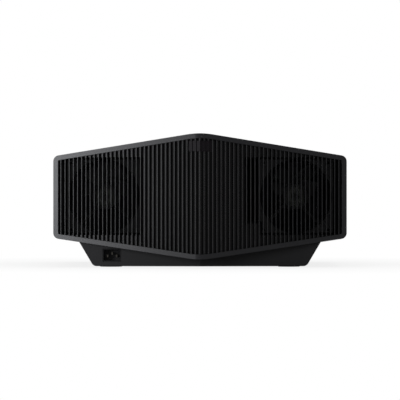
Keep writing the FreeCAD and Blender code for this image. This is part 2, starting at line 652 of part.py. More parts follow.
sink_plate = box("sink_plate", ("-140", "-100", f"{chassis_top} + 0.1"), ("-72", "-12", "58"))
sink_fins = block("sink_fins", "Y", "-100", "-12", *[
    rectangle(f"-139 + {index} * 6", f"-137.6 + {index} * 6", "57", "138") for index in range(12)])
sink_bridge = box("sink_bridge", ("-140", "-15", "57"), ("-72", "-10.2", "128"))
node("laser_heat_sink", fuse("laser_heat_sink", sink_plate, sink_fins, sink_bridge))


# ---------------------------------------------------------------- cooling fans
def fan(side, title):
    """Square axial fan parallel to the grille leg in front of it; local -Y faces outwards."""
    half = "fan_side / 2"
    corner = "fan_side / 2 - 7.5"
    housing = block(title + "_housing", "Y", "0", "fan_depth",
                    rectangle(f"-{half}", half, f"-{half}", half), circle("0", "0", "fan_bore"),
                    *[circle(f"({u}) * ({corner})", f"({v}) * ({corner})", "2.2") for u in (-1, 1) for v in (-1, 1)])
    side_x = number(half) - 0.1
    round_edges(housing, lambda e: runs_along_y(e) and abs(e.Vertexes[0].X) > side_x, "5")
    motor = rod(title + "_motor", "Y", ("0", "0"), "fan_depth - 5", "fan_depth", "19")
    struts = [block(f"{title}_strut_{angle}", "Y", "fan_depth - 3.5", "fan_depth", rectangle(
        "-2", "2", "17", "fan_bore + 0.5")) for angle in (45, 135, 225, 315)]
    for strut, angle in zip(struts, (45, 135, 225, 315)):
        strut.Placement.Rotation = FreeCAD.Rotation(Vector(0, 1, 0), angle)
    bore = rod(title + "_bore", "Y", ("0", "0"), "fan_depth - 6", "fan_depth - 1", "1.55")
    frame = cut(title + "_frame_cut", fuse(title + "_frame_whole", housing, motor, *struts), bore)

    rotor = document.addObject("PartDesign::Body", title + "_rotor_body")
    pad(rotor, "Y", "2", "fan_depth - 5.6", circle("0", "0", "hub_radius"))
    pad(rotor, "Y", "fan_depth - 6", "fan_depth - 1.6", circle("0", "0", "1.5"))
    round_edges(rotor, lambda e: abs(e.Vertexes[0].Y - 2) < 1e-3, "2.5")
    blade_sketch = draw(rotor, "XY_Plane", "hub_radius - 2", [polygon(
        ("-11", "5"), ("-9.2", "4.2"), ("11", "16.6"), ("9.6", "18.2"))])
    blade = rotor.newObject("PartDesign::Pad", "blade")
    blade.Profile = blade_sketch
    bind(blade, "Length", "blade_tip - hub_radius")
    ring = rotor.newObject("PartDesign::PolarPattern", "blades")
    ring.Originals = [blade]
    ring.Axis = (blade_sketch, ["V_Axis"])
    ring.Angle = 360
    ring.Occurrences = 7
    rotor.Tip = ring

    depth = "(grille_back + fan_gap)"
    for thing in (frame, rotor):
        lean = "atan(v_rise / (case_width / 2))"
        place(thing, f"({side}) * fan_x", face_y(-1, "fan_x", depth), "fan_z", f"({side}) * {lean}")
    node(title + "_frame", frame)
    node(title + "_rotor", rotor)


fan(-1, "left_fan")
fan(1, "right_fan")


# ---------------------------------------------------------------- lens and its motorised mount
def around_lens(extra_x, extra_z):
    return rectangle(f"-({extra_x})", extra_x, f"lens_z - ({extra_z})", f"lens_z + ({extra_z})")


def lens_bore(radius):
    return circle("0", "lens_z", radius)


flange_plate = block("flange_plate", "Y", "140", "146", rectangle("-80", "80", f"{chassis_top} + 0.1", "182"),
                     lens_bore("50"))
flange_rails = [block(f"flange_rail_{index}", "Y", "145", "154", rectangle(low, high, "60", "158"))
                for index, (low, high) in enumerate((("-68", "-60.06"), ("60.06", "68")))]
vertical_bearing = box("vertical_bearing", ("69", "145", "66"), ("79", "160", "74"))
vertical_bore = rod("vertical_bore", "Z", ("74", "153"), "60", "90", "3.05")
node("lens_flange", cut("lens_flange_cut", fuse("lens_flange_whole", flange_plate, *flange_rails,
                                                vertical_bearing), vertical_bore))
vertical_plate = block("vertical_plate", "Y", "146.3", "152.3", around_lens("60", "56"), lens_bore("42"))
vertical_rails = [block(f"vertical_rail_{index}", "Y", "152", "159", rectangle("-55", "55", low, high))
                  for index, (low, high) in enumerate(
                      (("lens_z - 56", "lens_z - 50.06"), ("lens_z + 50.06", "lens_z + 56")))]
vertical_nut = box("vertical_nut", ("54", "154.5", "lens_z - 6"), ("79", "160", "lens_z + 6"))
nut_block = box("nut_block", ("69", "148", "lens_z - 6"), ("79", "160", "lens_z + 6"))
nut_arm = box("nut_arm", ("54", "152", "lens_z - 6"), ("60", "160", "lens_z + 6"))
nut_bore = rod("nut_bore", "Z", ("74", "153"), "90", "130", "3.05")
top_bearing = box("top_bearing", ("-58", "152", "lens_z + 55"), ("-50", "166", "lens_z + 72"))
top_bore = rod("top_bore", "X", ("159", "lens_z + 64"), "-62", "-40", "3.05")
node("shift_frame_vertical", cut("vertical_cut", fuse(
    "vertical_whole", vertical_plate, *vertical_rails, vertical_nut, nut_block, nut_arm, top_bearing),
    nut_bore, top_bore))
horizontal_plate = block("horizontal_plate", "Y", "152.6", "158.6", around_lens("49", "50"),
                         lens_bore("barrel_rear_radius + 0.05"))
horizontal_nut = box("horizontal_nut", ("-6", "160", "lens_z + 47"), ("6", "166", "lens_z + 72"))
horizontal_foot = box("horizontal_foot", ("-6", "157", "lens_z + 47"), ("6", "161", "lens_z + 49.9"))
horizontal_bore = rod("horizontal_bore", "X", ("159", "lens_z + 64"), "-20", "20", "3.05")
nut_head = box("nut_head", ("-6", "154", "lens_z + 58"), ("6", "166", "lens_z + 70"))
node("shift_frame_horizontal", cut("horizontal_cut", fuse(
    "horizontal_whole", horizontal_plate, horizontal_nut, horizontal_foot, nut_head), horizontal_bore))
node("shift_screw_vertical", turned("shift_screw_vertical", "Z", [
    ("62", "0"), ("62", "5.6"), ("65.9", "5.6"), ("65.9", "3"), ("130", "3"), ("130", "0")]))
place(NODES[-1], "74", "153", 0)
node("shift_screw_horizontal", turned("shift_screw_horizontal", "X", [
    ("-62", "0"), ("-62", "7"), ("-58.1", "7"), ("-58.1", "3"), ("16", "3"), ("16", "0")]))
place(NODES[-1], 0, "159", "lens_z + 64")

GEARS = {"zoom": (-1, "172"), "focus": (1, "196")}
barrel_turn = turned("barrel_turn", "Y", [
    ("barrel_rear", "29"), ("barrel_rear", "barrel_rear_radius"), ("158.7", "barrel_rear_radius"),
    ("158.7", "barrel_radius + 2"), ("163", "barrel_radius + 2"), ("163", "barrel_radius"),
    ("barrel_front", "barrel_radius"), ("barrel_front", "41"), ("barrel_front - 4", "glass_radius + 0.1"),
    ("barrel_front - 14", "glass_radius + 0.1"), ("barrel_front - 14", "32"), ("barrel_rear + 10", "26"),
    ("barrel_rear + 10", "29")], z="lens_z")
brackets, shaft_bores = [], []
for title, (side, y) in GEARS.items():
    far, near = "gear_distance + 9", "barrel_radius - 1"
    span = (near, far) if side > 0 else (f"-({far})", f"-({near})")
    brackets.append(block(title + "_bracket", "Y", f"{y} - 8", f"{y} - 1", rectangle(
        *span, "lens_z - 8", "lens_z + 8")))
    shaft_bores.append(rod(title + "_shaft_bore", "Y", (f"({side}) * gear_distance", "lens_z"),
                           f"{y} - 9", f"{y}", "1.55"))
node("lens_barrel", cut("lens_barrel_cut", fuse("lens_barrel_whole", barrel_turn, *brackets), *shaft_bores))


def gear(title, y, centre_x, tip, root, hole, teeth, half_pitch, shaft):
    """Spur gear with straight-sided teeth; a half-pitch turn puts a gap where the mate's tooth is."""
    body = document.addObject("PartDesign::Body", title)
    shapes = [circle("0", "0", root)]
    if hole is not None:
        shapes.append(circle("0", "0", hole))
    pad(body, "Y", y, f"{y} + gear_width", *shapes)
    if shaft:
        pad(body, "Y", f"{y} - 7.5", f"{y} + 1", circle("0", "0", "1.5"))
    sketch = draw(body, "XZ_Plane", f"-({y} + gear_width)", [polygon(
        (f"{root} - 0.6", "-1.35"), (tip, "-0.6"), (tip, "0.6"), (f"{root} - 0.6", "1.35"))])
    tooth = body.newObject("PartDesign::Pad", "tooth")
    tooth.Profile = sketch
    bind(tooth, "Length", "gear_width")
    ring = body.newObject("PartDesign::PolarPattern", "teeth")
    ring.Originals = [tooth]
    ring.Axis = (sketch, ["N_Axis"])
    ring.Angle = 360
    ring.Occurrences = teeth
    body.Tip = ring
    body.Placement.Rotation = FreeCAD.Rotation(Vector(0, 1, 0), half_pitch)
    bind(body, "Placement.Base.x", centre_x)
    bind(body, "Placement.Base.z", "lens_z")
    return node(title, body)


RING_TEETH, PINION_TEETH = 60, 12
for title, (side, y) in GEARS.items():
    gear(f"{title}_ring", y, "0", "gear_tip", "gear_root", "barrel_radius + 0.06", RING_TEETH, 0, False)
    gear(f"{title}_pinion", y, f"({side}) * gear_distance", "pinion_tip", "pinion_root", None,
         PINION_TEETH, 180 / PINION_TEETH, True)
node("lens_shade", rod("lens_shade", "Y", ("0", "lens_z"), "214", "215.5", "68", "barrel_radius + 0.05"))
front_glass = turned("front_glass", "Y", [
    ("barrel_front - 13.8", "0"), ("barrel_front - 13.8", "glass_radius"), ("barrel_front - 9", "glass_radius"),
    ("barrel_front - 6.5", "28"), ("barrel_front - 5", "18"), ("barrel_front - 4.2", "8"),
    ("barrel_front - 4", "0")], z="lens_z")
rear_glass = turned("rear_glass", "Y", [
    ("barrel_rear + 1", "0"), ("barrel_rear + 2", "20"), ("barrel_rear + 3.5", "28.8"),
    ("barrel_rear + 9.8", "28.8"), ("barrel_rear + 9.8", "0")], z="lens_z")
node("lens_glass", group("lens_glass", front_glass, rear_glass))

# ---------------------------------------------------------------- check and write
document.recompute()
for thing in document.Objects:
    if "Invalid" in thing.State or "Error" in thing.State:
        raise RuntimeError(f"{thing.Name} did not build: {thing.State}")
os.makedirs("parts", exist_ok=True)
for thing in NODES:
    shape = thing.Shape
    if shape.isNull() or not shape.isValid() or not shape.Solids:
        raise RuntimeError(f"{thing.Label} has no valid solid")
    shape.exportStep(os.path.join("parts", thing.Label + ".step"))
    bounds = shape.BoundBox
    print(f"{thing.Label:24s} solids {len(shape.Solids):2d}  volume {shape.Volume:11.0f}  "
          f"x {bounds.XMin:7.1f} {bounds.XMax:7.1f}  y {bounds.YMin:7.1f} {bounds.YMax:7.1f}  "
          f"z {bounds.ZMin:6.1f} {bounds.ZMax:6.1f}")
print(len(NODES), "pieces written")
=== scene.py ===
# %% [markdown]
# # A home cinema projector, seen from its ribbed rear
#
# The projector's shape comes from CAD: every case half, rib, fan and socket is already a solid with its
# real size. This lesson gives those solids their finishes, adds the few thin pieces that are easier to
# work out as surfaces (fan labels, light traps, intake filters, lens rings and glass, button marks, socket
# insides), and lights the whole in a plain studio.
#
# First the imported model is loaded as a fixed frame, in metres, with +Z up and the ribbed rear towards -Y.

import json
import math

import bpy
import numpy as np
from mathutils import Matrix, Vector


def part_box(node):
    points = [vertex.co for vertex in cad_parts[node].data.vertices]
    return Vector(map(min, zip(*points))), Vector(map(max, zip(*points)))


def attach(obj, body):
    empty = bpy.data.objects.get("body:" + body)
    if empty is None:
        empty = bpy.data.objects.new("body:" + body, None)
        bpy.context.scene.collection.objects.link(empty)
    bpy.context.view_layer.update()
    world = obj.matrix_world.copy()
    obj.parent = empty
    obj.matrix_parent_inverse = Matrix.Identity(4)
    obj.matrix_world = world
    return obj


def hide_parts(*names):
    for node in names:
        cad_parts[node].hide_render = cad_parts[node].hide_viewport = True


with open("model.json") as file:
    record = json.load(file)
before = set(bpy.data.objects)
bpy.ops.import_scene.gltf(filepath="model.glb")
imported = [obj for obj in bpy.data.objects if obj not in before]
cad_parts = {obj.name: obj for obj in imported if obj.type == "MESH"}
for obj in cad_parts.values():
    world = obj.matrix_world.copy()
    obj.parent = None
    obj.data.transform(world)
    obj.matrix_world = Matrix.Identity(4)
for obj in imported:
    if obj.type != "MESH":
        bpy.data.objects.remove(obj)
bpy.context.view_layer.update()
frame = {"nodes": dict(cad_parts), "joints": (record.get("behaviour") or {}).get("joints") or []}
nodes = frame["nodes"]

# %% [markdown]
# ## Helpers for every finish
#
# Blender's shader sockets want linear light, and a maker's colour card gives sRGB, so one function
# converts. A pattern's scale is a number per metre here, because the object's coordinates are metres:
# `per_mm(0.4)` asks for features 0.4 mm across.

# %% Colour and scale
def linear(hex_code, alpha=1.0):
    """sRGB hex to linear RGBA: c / 12.92 below 0.04045, else ((c + 0.055) / 1.055) ** 2.4."""
    channels = np.array([int(hex_code[i:i + 2], 16) for i in (1, 3, 5)]) / 255
    curve = np.where(channels <= 0.04045, channels / 12.92, ((channels + 0.055) / 1.055) ** 2.4)
    return (*curve.tolist(), alpha)


def per_mm(size):
    """How many features of this size, in millimetres, fit in a metre."""
    return 1000 / size


print("mid grey is", [round(value, 3) for value in linear("#808080")])


# %% [markdown]
# ## Shader nodes in one line
#
# A finish is a small graph of nodes. These helpers add and link a node, make noise of a real size, vary a
# socket by a pattern and emboss the surface, so that each finish below reads as a few sizes and colours.

# %% Functions that add nodes
def add(tree, kind, links=None, **settings):
    """Add a node, set its attributes and its sockets, and link (node, output) pairs into it."""
    node = tree.nodes.new(kind)
    for name, value in settings.items():
        setattr(node, name, value)
    for name, value in (links or {}).items():
        if isinstance(value, tuple) and hasattr(value[0], "outputs"):
            tree.links.new(value[0].outputs[value[1]], node.inputs[name])
        else:
            node.inputs[name].default_value = value
    return node


def finish(name, **shader):
    """A material holding one Principled shader; its uniform values sit on the shader's own sockets."""
    material = bpy.data.materials.new(name)
    material.use_nodes = True
    tree = material.node_tree
    principled = tree.nodes["Principled BSDF"]
    for socket, value in shader.items():
        principled.inputs[socket.replace("_", " ")].default_value = value
    where = add(tree, "ShaderNodeTexCoord")
    return material, tree, principled, where


def noise(tree, vector, size_mm, detail=2.0):
    """Noise with features of a real size, and a detail level that adds finer octaves."""
    return add(tree, "ShaderNodeTexNoise", {"Vector": vector, "Scale": per_mm(size_mm), "Detail": detail})


def vary(tree, principled, socket, pattern, low, high):
    """Drive one shader socket between two values by a 0 to 1 pattern."""
    ramp = add(tree, "ShaderNodeMapRange", {0: pattern, 3: low, 4: high})
    tree.links.new(ramp.outputs[0], principled.inputs[socket])


def tint(tree, principled, pattern, dark, light):
    """Blend the base colour between two hex colours by a 0 to 1 pattern."""
    mix = add(tree, "ShaderNodeMix", {0: pattern, 6: linear(dark), 7: linear(light)}, data_type="RGBA")
    tree.links.new(mix.outputs[2], principled.inputs["Base Color"])


def emboss(tree, principled, pattern, depth_mm, edge_mm=0.15):
    """Feed a height pattern to the shader's normal; the depth is the pattern's real relief.

    The Bevel node turns the normal near an edge, as the tool's worn corner radius does. It leaves the mesh
    as it is.
    """
    edge = add(tree, "ShaderNodeBevel", {"Radius": edge_mm / 1000})
    bump = add(tree, "ShaderNodeBump", {"Height": pattern, "Distance": depth_mm / 1000, "Normal": (edge, 0)})
    tree.links.new(bump.outputs[0], principled.inputs["Normal"])


finishes = {}

# %% [markdown]
# ## Black plastics
#
# Most of what shows is ABS, injection moulded in a tool whose steel was spark eroded. The sparks leave
# pits about 0.3 mm across, and the plastic copies them as a fine even grain: no sharp reflection, only a
# soft sheen. The grain is drawn at about 0.9 mm, three times coarser than real, because finer would vanish
# at this distance.
#
# The bezels are the same plastic under a thin satin lacquer, so they catch a brighter and smoother
# highlight.

# %% Spark-textured ABS and its lacquered and ribbed cousins
PLASTIC_SWING = 0.06    # how far roughness wanders to either side


def moulded_abs(name, dark, light, grain_mm, roughness, level, relief_mm, cloud_mm=60, edge_mm=0.3):
    """Fine grain for the bump and roughness, and slow clouds that shift the black a little."""
    material, tree, principled, where = finish(name, IOR=1.53, Specular_IOR_Level=level)
    grain = noise(tree, (where, "Object"), grain_mm, 3.0)
    clouds = noise(tree, (where, "Object"), cloud_mm)
    tint(tree, principled, (clouds, 0), dark, light)
    vary(tree, principled, "Roughness", (grain, 0), roughness - PLASTIC_SWING, roughness + PLASTIC_SWING)
    emboss(tree, principled, (grain, 0), relief_mm, edge_mm)
    finishes[name] = material


moulded_abs("spark_textured_abs", "#0d0d0e", "#121213", 0.9, 0.50, 0.12, 0.03)
moulded_abs("satin_lacquered_abs", "#111113", "#151517", 1.4, 0.33, 0.15, 0.008)
moulded_abs("ribbed_grille_abs", "#0d0d0e", "#111112", 1.6, 0.31, 0.085, 0.003, 60, 0.12)
moulded_abs("glass_filled_nylon", "#262627", "#303031", 0.7, 0.55, 0.12, 0.03, 18)
moulded_abs("gloss_moulded_abs", "#0b0b0d", "#0f0f11", 2.5, 0.16, 0.30, 0.004)
moulded_abs("acetal_gear_plastic", "#26262a", "#303034", 1.1, 0.38, 0.30, 0.02, 12)
print("plastics:", ", ".join(finishes))

# %% [markdown]
# ## Rubber, smoked windows and light guides
#
# The feet are moulded rubber and quite dull. The remote windows are acrylic dyed so dark that only infrared
# gets through: black to the eye, with a satin face. The indicator is a milky polycarbonate light guide.

# %% Rubber, acrylic and polycarbonate
moulded_abs("moulded_foot_rubber", "#1c1c1c", "#282827", 0.8, 0.78, 0.2, 0.08, 10)
moulded_abs("smoked_acrylic", "#0f0d0f", "#131013", 3.0, 0.40, 0.05, 0.002)
moulded_abs("milky_polycarbonate", "#b9bcbc", "#d2d4d2", 2.0, 0.35, 0.4, 0.01, 6)
moulded_abs("printed_hub_label", "#3c3d3b", "#4b4c49", 1.2, 0.6, 0.2, 0.01, 9)
moulded_abs("printed_button_mark", "#a8a8a6", "#b8b8b6", 0.8, 0.55, 0.3, 0.01, 4)
moulded_abs("socket_nylon", "#121213", "#191919", 0.8, 0.6, 0.1, 0.02, 4)
moulded_abs("flocked_black_abs", "#1c1c1e", "#232325", 0.6, 0.85, 0.05, 0.05, 9)
moulded_abs("pleated_filter_fleece", "#242425", "#323233", 0.5, 0.9, 0.1, 0.15, 5)
print(len(finishes), "finishes so far")

# %% [markdown]
# ## Metals
#
# Inside are cast, extruded and rolled metals. A casting is cloudy and faintly pitted, an extrusion carries
# long draw lines, and zinc-plated sheet has large soft crystals. Socket shells are nickel plated and
# bright. The inlet's pins are nickel too, painted far darker to stand in for the shade inside the inlet's
# recess, and the small contacts are gold plated.

# %% Cast, plated and turned metals
PITS_PER_CLOUD = 6
METAL_SWING = 0.08


def cloudy_metal(name, dark, light, cloud_mm, roughness, relief_mm):
    """Noise clouds for colour and roughness; the same noise, finer, for the pitting."""
    material, tree, principled, where = finish(name, Metallic=1.0)
    clouds = noise(tree, (where, "Object"), cloud_mm, 4.0)
    pits = noise(tree, (where, "Object"), cloud_mm / PITS_PER_CLOUD)
    tint(tree, principled, (clouds, 0), dark, light)
    vary(tree, principled, "Roughness", (clouds, 0), roughness - METAL_SWING, roughness + METAL_SWING)
    emboss(tree, principled, (pits, 0), relief_mm)
    finishes[name] = material


cloudy_metal("die_cast_aluminium", "#7c7e80", "#9a9c9e", 7, 0.48, 0.05)
cloudy_metal("zinc_plated_steel", "#8d9093", "#b0b3b5", 16, 0.36, 0.01)
cloudy_metal("nickel_plated_steel", "#8b8883", "#a29f99", 9, 0.28, 0.004)
# inlet pins: nickel colour darkened far down, painted shade of the inlet's recess
cloudy_metal("recess_shaded_nickel_brass", "#302e2b", "#403d39", 5, 0.55, 0.006)
cloudy_metal("gold_plated_bronze", "#b08a3c", "#cba657", 4, 0.28, 0.004)
cloudy_metal("turned_brass", "#a88442", "#c6a35c", 3, 0.30, 0.01)
cloudy_metal("black_zinc_steel", "#1d1d1e", "#2b2b2c", 4, 0.42, 0.01)
cloudy_metal("black_anodised_aluminium", "#19191b", "#232326", 5, 0.40, 0.006)


STREAK = 0.02    # the pattern's scale along the draw lines, so they run fifty times longer than wide
DRAW_RELIEF_MM = 0.01


def drawn_metal(name, dark, light, line_mm, roughness):
    """Draw lines: noise squeezed along Y so that its features stretch into long streaks."""
    material, tree, principled, where = finish(name, Metallic=1.0, Roughness=roughness)
    stretch = add(tree, "ShaderNodeMapping", {"Vector": (where, "Object"), "Scale": (1.0, STREAK, 1.0)})
    lines = noise(tree, (stretch, 0), line_mm)
    tint(tree, principled, (lines, 0), dark, light)
    emboss(tree, principled, (lines, 0), DRAW_RELIEF_MM)
    finishes[name] = material


drawn_metal("extruded_aluminium", "#9fa2a5", "#c3c6c8", 0.8, 0.34)
print(len(finishes), "finishes after the metals")

# %% [markdown]
# ## Circuit board, phosphor and glass
#
# The boards are glass-epoxy laminate under green solder mask: copper tracks show as slightly lighter
# lines, here a brick pattern with cells of 5 by 2.5 mm. The phosphor wheel is a metal disc with a yellow
# ceramic coating towards its edge. The lens is coated glass whose thin anti-reflection layers reflect a
# faint violet. That reflection is also painted into its colour: dark head on, violet at a slant.

# %% Solder mask, phosphor ring and coated glass
material, tree, principled, where = finish("green_solder_mask", Roughness=0.42, IOR=1.52)
tracks = add(tree, "ShaderNodeTexBrick", {
    "Vector": (where, "Object"), "Scale": per_mm(10), "Mortar Size": 0.06, "Color1": (0, 0, 0, 1),
    "Color2": (0.2, 0.2, 0.2, 1), "Mortar": (1, 1, 1, 1)})
tint(tree, principled, (tracks, 0), "#0c3a24", "#2c6b42")
emboss(tree, principled, (tracks, 0), 0.03)
finishes["green_solder_mask"] = material

WHEEL_Y, WHEEL_Z = 0.025, 0.109
RING_START, RING_FULL = 0.0185, 0.019    # the radii between which bare metal turns to phosphor
material, tree, principled, where = finish("phosphor_coated_aluminium", Roughness=0.5)
centre = add(tree, "ShaderNodeMapping", {"Vector": (where, "Object"), "Location": (0.0, -WHEEL_Y, -WHEEL_Z),
                                         "Scale": (0.0, 1.0, 1.0)})
radius = add(tree, "ShaderNodeVectorMath", {0: (centre, 0)}, operation="LENGTH")
ring = add(tree, "ShaderNodeMapRange", {0: (radius, "Value"), 1: RING_START, 2: RING_FULL})
speckle = noise(tree, (where, "Object"), 1)
tint(tree, principled, (ring, 0), "#9a9c9e", "#c9a41e")
emboss(tree, principled, (speckle, 0), 0.02)
finishes["phosphor_coated_aluminium"] = material


def coated_glass(name, face_on, slanted, transmission, reflected, level):
    """Clear glass; a coating lowers the reflection to a level and leaves it one colour."""
    material, tree, principled, where = finish(
        name, Roughness=0.02, IOR=1.6, Transmission_Weight=transmission, Specular_IOR_Level=level,
        Specular_Tint=linear(reflected))
    slant = add(tree, "ShaderNodeLayerWeight", {"Blend": 0.35})
    dust = noise(tree, (where, "Object"), 4, 3.0)
    # the base colour changes with the angle of view; on the lens the violet at a slant is a painted
    # reflection of its coating
    tint(tree, principled, (slant, "Facing"), face_on, slanted)
    vary(tree, principled, "Roughness", (dust, 0), 0.01, 0.04)
    finishes[name] = material


# the slanted violet colour is painted reflection, added to the coating's real violet specular tint
coated_glass("coated_optical_glass", "#0d0c14", "#211c36", 0.35, "#a79ce6", 0.25)
coated_glass("polished_prism_glass", "#c8dce0", "#9ec4d0", 0.9, "#ffffff", 0.5)
print(len(finishes), "finishes in all")

# %% [markdown]
# ## Which piece wears which finish
#
# Each CAD piece keeps its own mesh and swaps the plain colour it was packed with for a finish above.

# %% Dress the CAD pieces
WEAR = {
    "satin_lacquered_abs": ["rear_bezel", "front_bezel"],
    "spark_textured_abs": ["lower_case", "top_cover", "pedestal", "front_fascia", "terminal_panel",
                           "control_panel", "lens_shade", "ac_inlet"],
    "ribbed_grille_abs": ["rear_grille", "front_grille_left", "front_grille_right"],
    "glass_filled_nylon": ["left_fan_frame", "right_fan_frame", "left_fan_rotor", "right_fan_rotor"],
    "gloss_moulded_abs": ["lens_trim_ring", "trigger_jack", "power_button", "ok_button", "up_button",
                          "down_button", "left_button", "right_button", "input_button", "menu_button"],
    "acetal_gear_plastic": ["zoom_ring", "zoom_pinion", "focus_ring", "focus_pinion"],
    "moulded_foot_rubber": ["foot_left", "foot_right", "rear_foot_pads"],
    "smoked_acrylic": ["rear_ir_window", "front_ir_window"],
    "milky_polycarbonate": ["indicator_lens"],
    "die_cast_aluminium": ["light_engine_case", "laser_module", "lens_flange", "shift_frame_vertical",
                           "shift_frame_horizontal"],
    "zinc_plated_steel": ["chassis_plate", "shift_screw_vertical", "shift_screw_horizontal"],
    "nickel_plated_steel": ["serial_port", "lan_socket", "hdmi_sockets", "usb_socket"],
    # the inlet pins wear nickel darkened as painted shade of their recess
    "recess_shaded_nickel_brass": ["inlet_pins"],
    "turned_brass": ["mount_inserts"],
    "black_zinc_steel": ["case_screws"],
    "black_anodised_aluminium": ["lens_barrel"],
    "extruded_aluminium": ["laser_heat_sink"],
    "green_solder_mask": ["main_board", "power_supply", "switch_board"],
    "phosphor_coated_aluminium": ["phosphor_wheel"],
    "coated_optical_glass": ["lens_glass"],
    "polished_prism_glass": ["combiner_prism"],
}
for name, wearers in WEAR.items():
    for wearer in wearers:
        slots = nodes[wearer].data.materials
        for index in range(len(slots)):
            slots[index] = finishes[name]
bare = sorted(set(nodes) - {wearer for wearers in WEAR.values() for wearer in wearers})
print("pieces without a finish:", bare)


# %% [markdown]
# ## Surfaces on a grid
#
# Most new pieces are a grid of points, worked out for the whole grid at once. Quads join neighbouring grid
# points, and a wrapped direction joins its last row back to its first.

# %% Grid surface helper
def grid_faces(rows, columns, wrap_rows=False, wrap_columns=False):
    """Quads (i, j), (i, j + 1), (i + 1, j + 1), (i + 1, j) for a grid of points, as rows of four indices."""
    row_cells, column_cells = rows - (not wrap_rows), columns - (not wrap_columns)
    i, j = np.meshgrid(np.arange(row_cells), np.arange(column_cells), indexing="ij")
    after_i, after_j = (i + 1) % rows, (j + 1) % columns
    corners = [i * columns + j, i * columns + after_j, after_i * columns + after_j, after_i * columns + j]
    return np.stack(corners, axis=-1).reshape(-1, 4)


def dressed(name, points, faces, finish_name, smooth):
    """Make an object from points and faces, and dress it in one finish."""
    mesh = bpy.data.meshes.new(name)
    mesh.from_pydata(points.reshape(-1, 3).tolist(), [], faces)
    mesh.update()
    mesh.polygons.foreach_set("use_smooth", np.full(len(mesh.polygons), smooth))
    mesh.materials.append(finishes[finish_name])
    piece = bpy.data.objects.new(name, mesh)
    bpy.context.scene.collection.objects.link(piece)
    return piece


def surface(name, points, faces, finish_name, body, smooth=True):
    """Make a dressed object from a point array and a face array, and let it ride on a CAD body."""
    piece = dressed(name, points, faces.tolist(), finish_name, smooth)
    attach(piece, body)
    return piece


# %% [markdown]
# ## Closed shapes from a profile
#
# Four ways of carrying a closed profile cover most small pieces: round an axis for rings, upright at
# several places for slats and pleats, round an opening for slim frames, and along a flat path for printed
# marks.

# %% Profile helpers
def carried_round(along, radius, angle):
    """Turn points about +Y: x = r cos a, y = along, z = r sin a."""
    return np.stack([radius * np.cos(angle), along + 0 * angle, radius * np.sin(angle)], axis=-1)


def ring_profile(profile, steps):
    """Carry a closed loop of (along, radius) points round +Y."""
    along, radius = np.array(profile).T
    angle = np.linspace(0, 2 * np.pi, steps, endpoint=False)[:, None]
    faces = grid_faces(steps, len(profile), wrap_rows=True, wrap_columns=True)
    return carried_round(along, radius, angle), faces


def upright_bars(front, back, low, high):
    """Bars between two zigzags of (along, depth) points, one row for each bar, standing from low to high.

    A bar's loop runs out along its front row and home along its back row. It is swept in z and capped with
    quads. The loop has to run clockwise seen from above, which makes every face point outwards.
    """
    bars, count = front.shape[:2]
    loop = np.concatenate([front, back[:, ::-1]], axis=1)
    heights = np.array([low, high])[None, :, None, None]
    flat = np.broadcast_to(loop[:, None], (bars, 2, 2 * count, 2))
    points = np.concatenate([flat, np.broadcast_to(heights, (bars, 2, 2 * count, 1))], axis=-1)
    wall = grid_faces(2, 2 * count, wrap_columns=True)[:, ::-1]
    step = np.arange(count - 1)
    floor = np.stack([step, step + 1, 2 * count - 2 - step, 2 * count - 1 - step], axis=-1)
    roof = floor[:, ::-1] + 2 * count
    faces = np.concatenate([wall, floor, roof])
    return points, (faces[None] + 4 * count * np.arange(bars)[:, None, None]).reshape(-1, 4)


def slim_frame(half, low, high, rim, near, far):
    """A rectangular frame round an opening: a four-point loop at each corner, joined all the way round."""
    side = np.array([-1, 1, 1, -1])[:, None]
    level = np.array([low, low, high, high])[:, None]
    upward = np.array([-1, -1, 1, 1])[:, None]
    out = np.array([rim, rim, 0, 0])[None]
    depth = np.array([near, far, far, near])[None]
    points = np.stack([side * (half + out), depth + 0 * side, level + upward * out], axis=-1)
    return points, grid_faces(4, 4, wrap_rows=True, wrap_columns=True)


def join(*pieces):
    """One point array and one face array out of several."""
    starts = np.cumsum([0] + [points.reshape(-1, 3).shape[0] for points, _ in pieces])
    points = np.concatenate([points.reshape(-1, 3) for points, _ in pieces])
    return points, np.concatenate([faces + start for (_, faces), start in zip(pieces, starts)])


def on_leg(points, origin, across, inwards):
    """From (along, depth, height) beside a leg of the V to the object's own x, y, z."""
    along, depth, height = points[..., 0:1], points[..., 1:2], points[..., 2:3]
    upwards = np.array([0, 0, 1])
    return np.array(origin) + along * np.array(across) + depth * np.array(inwards) + height * upwards


joints = {joint["name"]: joint for joint in frame["joints"]}
print("fan axis", joints["left_fan_spin"]["axis"])

# %% [markdown]
# ## Fan labels
#
# Each fan hub carries a round paper label, which is why the hubs show lighter between the ribs. It is a
# thin ring lying on the hub, and it turns with the rotor. The fan's own joint gives its centre and its
# axis.

# %% Hub labels
LABEL_PROFILE = [(0.00170, 0.0165), (0.00195, 0.0163), (0.00195, 0.0032), (0.00170, 0.0030)]


def fan_axes(body):
    """The fan's centre, its sideways direction and its axis, from the joint that spins it."""
    joint = joints[body + "_spin"]
    axis = np.array(joint["axis"])
    return joint["pos_m"], (axis[1], -axis[0], 0.0), axis


for body in ("left_fan", "right_fan"):
    points, faces = ring_profile(LABEL_PROFILE, 64)
    label = surface(f"{body}_label", on_leg(points, *fan_axes(body)), faces, "printed_hub_label", body)
    print(label.name, len(label.data.polygons), "faces")

# %% [markdown]
# ## Light traps behind the fans
#
# The light source must not shine out through the exhaust, and nobody should see in. A light trap lets air
# through and stops light: a row of upright strips folded like arrowheads, each reaching sideways past the
# next one, so no straight line passes between them. A slim frame holds the strips. The same strip is
# repeated at one pitch.

